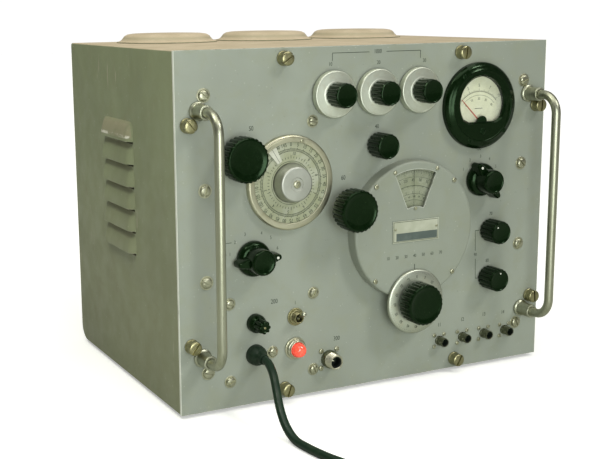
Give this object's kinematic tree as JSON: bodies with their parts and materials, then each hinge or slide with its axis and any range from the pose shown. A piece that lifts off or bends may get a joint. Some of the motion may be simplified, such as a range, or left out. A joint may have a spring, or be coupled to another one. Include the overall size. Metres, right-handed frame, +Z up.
{
  "type": "signal generator",
  "caption": "Bench signal generator: louvred sheet-metal cabinet with a withdrawable panel and chassis, handles, dials, knobs, meter, connectors and power cord.",
  "frame": {"origin": "on the standing surface, under the middle of the body's box without the cord", "axes": "+Z up, +X along the panel to the viewer's right, -Y out of the front panel"},
  "size_m": [0.4931, 0.6427, 0.3699],
  "materials": {
    "paint_front": "satin",
    "paint_case": "satin, worn",
    "paint_top": "matt, dusty",
    "bakelite": "gloss",
    "nickel": "satin nickel",
    "screw_brass": "worn nickel on brass",
    "dial_aluminium": "satin",
    "chassis_steel": "plated",
    "rubber": "matt",
    "clear": "clear",
    "tube_glass": "silvered",
    "scale_card": "cream",
    "pointer_red": "satin",
    "red_lens": "faceted"
  },
  "bodies": {
    "cabinet": {"cabinet_shell": "paint_case", "cabinet_back": "paint_case", "top_dome_left": "paint_top", "top_dome_middle": "paint_top", "top_dome_right": "paint_top", "foot_front_left": "rubber", "foot_front_right": "rubber", "foot_back_left": "rubber", "foot_back_right": "rubber"},
    "chassis": {"front_panel": "paint_front", "chassis_frame": "chassis_steel", "power_transformer": "chassis_steel", "oscillator_cavity": "dial_aluminium", "rectifier_tube": "tube_glass", "handle_left": "nickel", "handle_right": "nickel", "attenuator_bezel": "dial_aluminium", "dial_cover": "paint_front", "dial_window": "clear", "meter_case": "bakelite", "meter_glass": "clear", "meter_scale_plate": "scale_card", "toggle_body": "nickel", "fuse_holder": "bakelite", "lamp_bezel": "nickel", "lamp_lens": "red_lens", "cord_gland": "rubber", "rf_output_connector": "nickel", "ext_mod_connector": "nickel", "sync_in_connector": "nickel", "sync_out_connector": "nickel", "delayed_sync_connector": "nickel", "power_cord": "rubber", "cord_coil": "rubber", "cord_plug": "rubber"},
    "captive_screw_top_left": {"captive_screw_top_left": "screw_brass"},
    "captive_screw_top_right": {"captive_screw_top_right": "screw_brass"},
    "captive_screw_left_upper": {"captive_screw_left_upper": "screw_brass"},
    "captive_screw_left_lower": {"captive_screw_left_lower": "screw_brass"},
    "captive_screw_right_upper": {"captive_screw_right_upper": "screw_brass"},
    "captive_screw_right_lower": {"captive_screw_right_lower": "screw_brass"},
    "captive_screw_bottom_left": {"captive_screw_bottom_left": "screw_brass"},
    "captive_screw_bottom_right": {"captive_screw_bottom_right": "screw_brass"},
    "pulse_width_knob": {"pulse_width_knob": "bakelite"},
    "pulse_delay_knob": {"pulse_delay_knob": "bakelite"},
    "pulse_rate_knob": {"pulse_rate_knob": "bakelite"},
    "zero_set_knob": {"zero_set_knob": "bakelite"},
    "power_set_knob": {"power_set_knob": "bakelite"},
    "fm_phase_knob": {"fm_phase_knob": "bakelite"},
    "fm_amplitude_knob": {"fm_amplitude_knob": "bakelite"},
    "modulation_selector": {"modulation_selector": "bakelite"},
    "sync_selector": {"sync_selector": "bakelite"},
    "output_level_knob": {"output_level_knob": "bakelite"},
    "attenuator_dial": {"attenuator_dial": "dial_aluminium"},
    "frequency_knob": {"frequency_knob": "bakelite"},
    "frequency_dial": {"frequency_dial": "dial_aluminium"},
    "meter_pointer": {"meter_pointer": "pointer_red"},
    "toggle_lever": {"toggle_lever": "nickel"},
    "fuse": {"fuse": "tube_glass"},
    "fuse_cap": {"fuse_cap": "bakelite"}
  },
  "joints": [
    {"name": "chassis_slide", "type": "slide", "parent": "cabinet", "child": "chassis", "axis": [0, -1, 0], "range_m": [0, 0.3]},
    {"name": "captive_screw_top_left_turn", "type": "hinge", "parent": "chassis", "child": "captive_screw_top_left", "pos_m": [-0.1055, -0.13012, 0.3493], "axis": [0, -1, 0], "continuous": true},
    {"name": "captive_screw_top_right_turn", "type": "hinge", "parent": "chassis", "child": "captive_screw_top_right", "pos_m": [0.1055, -0.13012, 0.3493], "axis": [0, -1, 0], "continuous": true},
    {"name": "captive_screw_left_upper_turn", "type": "hinge", "parent": "chassis", "child": "captive_screw_left_upper", "pos_m": [-0.2085, -0.13012, 0.2896], "axis": [0, -1, 0], "continuous": true},
    {"name": "captive_screw_left_lower_turn", "type": "hinge", "parent": "chassis", "child": "captive_screw_left_lower", "pos_m": [-0.2085, -0.13012, 0.074], "axis": [0, -1, 0], "continuous": true},
    {"name": "captive_screw_right_upper_turn", "type": "hinge", "parent": "chassis", "child": "captive_screw_right_upper", "pos_m": [0.2085, -0.13012, 0.2896], "axis": [0, -1, 0], "continuous": true},
    {"name": "captive_screw_right_lower_turn", "type": "hinge", "parent": "chassis", "child": "captive_screw_right_lower", "pos_m": [0.2085, -0.13012, 0.074], "axis": [0, -1, 0], "continuous": true},
    {"name": "captive_screw_bottom_left_turn", "type": "hinge", "parent": "chassis", "child": "captive_screw_bottom_left", "pos_m": [-0.106, -0.13012, 0.0144], "axis": [0, -1, 0], "continuous": true},
    {"name": "captive_screw_bottom_right_turn", "type": "hinge", "parent": "chassis", "child": "captive_screw_bottom_right", "pos_m": [0.106, -0.13012, 0.0144], "axis": [0, -1, 0], "continuous": true},
    {"name": "pulse_width_knob_turn", "type": "hinge", "parent": "chassis", "child": "pulse_width_knob", "pos_m": [-0.0506, -0.13012, 0.3123], "axis": [0, -1, 0], "range_deg": [-150, 150]},
    {"name": "pulse_delay_knob_turn", "type": "hinge", "parent": "chassis", "child": "pulse_delay_knob", "pos_m": [0.0004, -0.13012, 0.3123], "axis": [0, -1, 0], "range_deg": [-150, 150]},
    {"name": "pulse_rate_knob_turn", "type": "hinge", "parent": "chassis", "child": "pulse_rate_knob", "pos_m": [0.0512, -0.13012, 0.3123], "axis": [0, -1, 0], "range_deg": [-150, 150]},
    {"name": "zero_set_knob_turn", "type": "hinge", "parent": "chassis", "child": "zero_set_knob", "pos_m": [0.003, -0.13012, 0.2584], "axis": [0, -1, 0], "range_deg": [-150, 150]},
    {"name": "power_set_knob_turn", "type": "hinge", "parent": "chassis", "child": "power_set_knob", "pos_m": [-0.1565, -0.13012, 0.2557], "axis": [0, -1, 0], "range_deg": [-150, 150]},
    {"name": "fm_phase_knob_turn", "type": "hinge", "parent": "chassis", "child": "fm_phase_knob", "pos_m": [0.149, -0.13012, 0.1552], "axis": [0, -1, 0], "range_deg": [-150, 150]},
    {"name": "fm_amplitude_knob_turn", "type": "hinge", "parent": "chassis", "child": "fm_amplitude_knob", "pos_m": [0.1482, -0.13012, 0.1024], "axis": [0, -1, 0], "range_deg": [-150, 150]},
    {"name": "modulation_selector_turn", "type": "hinge", "parent": "chassis", "child": "modulation_selector", "pos_m": [-0.141, -0.13012, 0.1549], "axis": [0, -1, 0], "range_deg": [0, 150]},
    {"name": "sync_selector_turn", "type": "hinge", "parent": "chassis", "child": "sync_selector", "pos_m": [0.1345, -0.13012, 0.2123], "axis": [0, -1, 0], "range_deg": [-90, 30]},
    {"name": "output_level_knob_turn", "type": "hinge", "parent": "chassis", "child": "output_level_knob", "pos_m": [-0.0385, -0.13012, 0.1976], "axis": [0, -1, 0], "range_deg": [-450, 450]},
    {"name": "attenuator_dial_turn", "type": "hinge", "parent": "chassis", "child": "attenuator_dial", "pos_m": [-0.1, -0.13012, 0.2275], "axis": [0, -1, 0], "range_deg": [-150, 150]},
    {"name": "frequency_knob_turn", "type": "hinge", "parent": "chassis", "child": "frequency_knob", "pos_m": [0.0413, -0.13012, 0.0917], "axis": [0, -1, 0], "range_deg": [-1500, 1500]},
    {"name": "frequency_dial_turn", "type": "hinge", "parent": "chassis", "child": "frequency_dial", "pos_m": [0.0415, -0.13012, 0.1675], "axis": [0, -1, 0], "range_deg": [-150, 150]},
    {"name": "meter_pointer_turn", "type": "hinge", "parent": "chassis", "child": "meter_pointer", "pos_m": [0.13, -0.13012, 0.276], "axis": [0, -1, 0], "range_deg": [-90, 0], "stiffness_Nm_per_rad": 0.001},
    {"name": "toggle_lever_turn", "type": "hinge", "parent": "chassis", "child": "toggle_lever", "pos_m": [-0.093, -0.13512, 0.0886], "axis": [1, 0, 0], "range_deg": [0, 54]},
    {"name": "fuse_slide", "type": "slide", "parent": "chassis", "child": "fuse", "axis": [0, -1, 0], "range_m": [0, 0.045]},
    {"name": "fuse_cap_turn", "type": "hinge", "parent": "fuse", "child": "fuse_cap", "pos_m": [-0.139, -0.13012, 0.0885], "axis": [0, -1, 0], "range_deg": [0, 90]}
  ],
  "couplings": [
    {"joint": "attenuator_dial_turn", "follows": "output_level_knob_turn", "ratio": 0.33333},
    {"joint": "frequency_dial_turn", "follows": "frequency_knob_turn", "ratio": -0.1}
  ]
}
